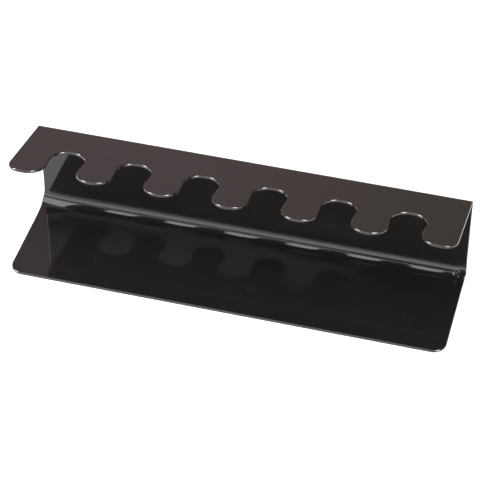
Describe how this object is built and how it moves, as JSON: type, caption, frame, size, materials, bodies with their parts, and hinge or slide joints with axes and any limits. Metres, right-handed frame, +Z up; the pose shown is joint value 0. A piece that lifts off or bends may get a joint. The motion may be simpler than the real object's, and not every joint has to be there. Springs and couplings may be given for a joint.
{
  "type": "wall cue rack",
  "caption": "Folded glossy sheet rack that stands billiard cue butts upright against a wall: notched top shelf, plain wall plate and base, with wall screws in cup washers.",
  "frame": {"origin": "on the wall plane, on the axis of the middle wall screw, halfway along the rack", "axes": "+X along the rack to the right as seen from the room, +Y into the wall along the screws, +Z up"},
  "size_m": [0.402, 0.1196, 0.1125],
  "materials": {
    "black_sheet": "solid black cast acrylic, mirror gloss, heat-folded, with polished cut edges",
    "washer_plastic": "black moulded nylon with a fine satin texture",
    "screw_steel": "black-plated steel with a satin sheen"
  },
  "bodies": {
    "root": {"rack_body": "black_sheet", "left_cup_washer": "washer_plastic", "middle_cup_washer": "washer_plastic", "right_cup_washer": "washer_plastic", "left_wall_screw": "screw_steel", "middle_wall_screw": "screw_steel", "right_wall_screw": "screw_steel"}
  },
  "joints": []
}
